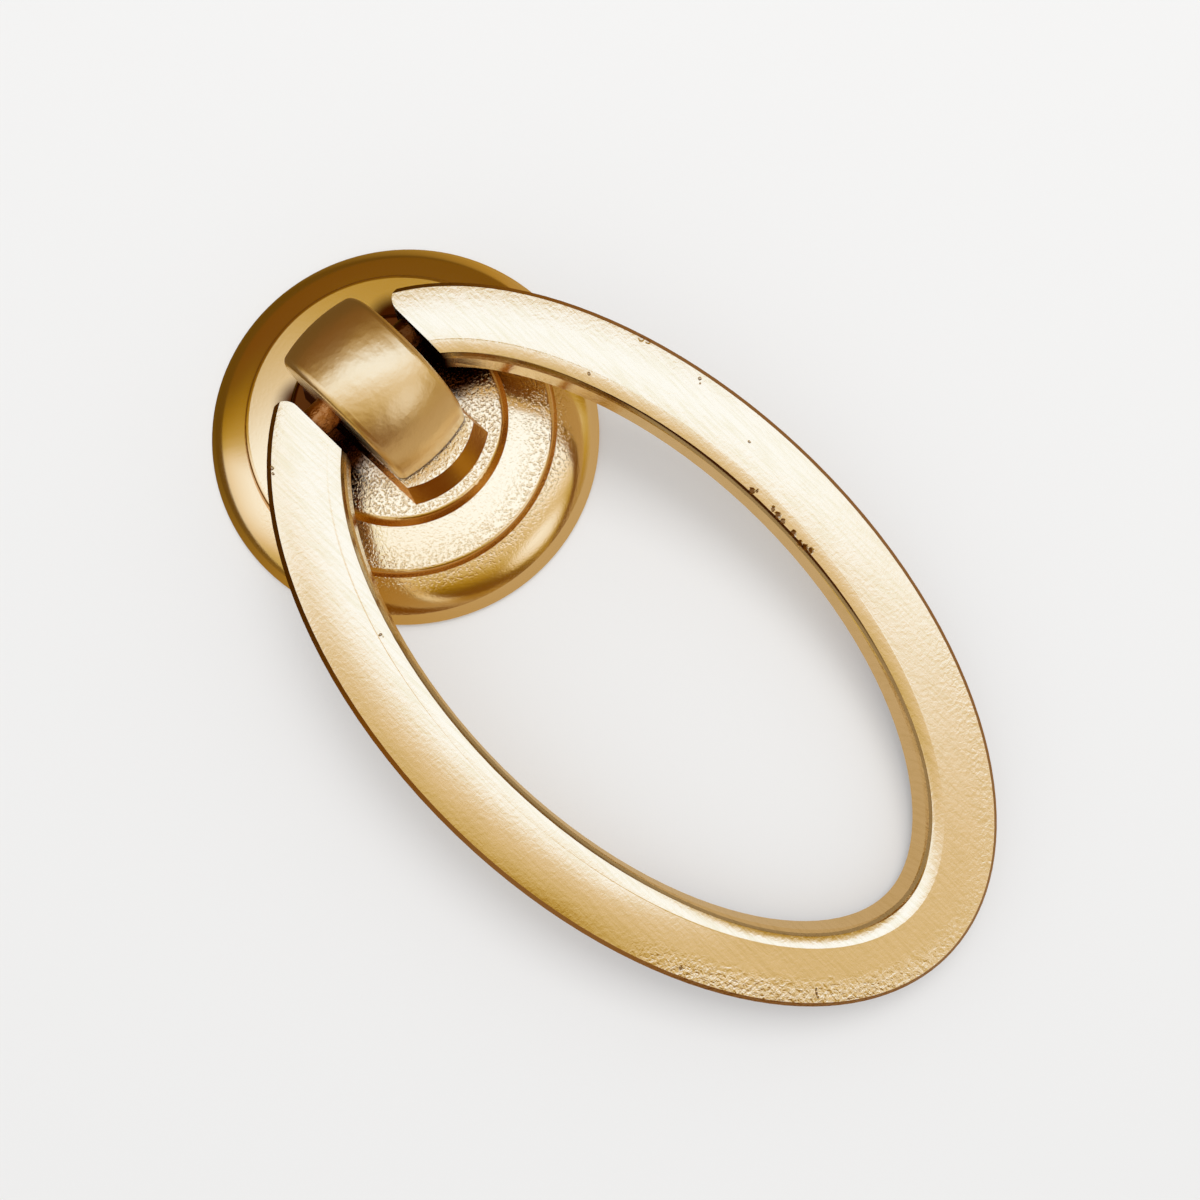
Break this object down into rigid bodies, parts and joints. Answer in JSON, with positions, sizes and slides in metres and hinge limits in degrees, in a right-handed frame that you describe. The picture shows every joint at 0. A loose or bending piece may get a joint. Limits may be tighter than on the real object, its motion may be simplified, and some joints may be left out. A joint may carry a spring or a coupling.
{
  "type": "ring pull handle",
  "caption": "Satin gold drop pull: a flat oval ring hinged by a cross pin to a rounded post on a stepped round rosette, screwed on from behind.",
  "frame": {"origin": "mouth of the screw hole, at the centre of the rosette's back face, which lies on the mounting surface", "axes": "+Z out of the mounting surface, X along the hinge pin, -Y from the hinge towards the ring's far end at rest"},
  "size_m": [0.039, 0.0755, 0.0145],
  "materials": {
    "cast_gold": "satin, fine cast grain",
    "satin_gold": "smooth satin",
    "coppery_gold": "rough satin",
    "brushed_gold": "brushed along the ring"
  },
  "bodies": {
    "mount": {"base": "cast_gold", "post": "satin_gold", "pin": "coppery_gold"},
    "bail": {"ring": "brushed_gold"}
  },
  "joints": [
    {"name": "ring_swing", "type": "hinge", "parent": "mount", "child": "bail", "pos_m": [0, 0.0025, 0.009], "axis": [-1, 0, 0], "range_deg": [0, 193.4]}
  ]
}
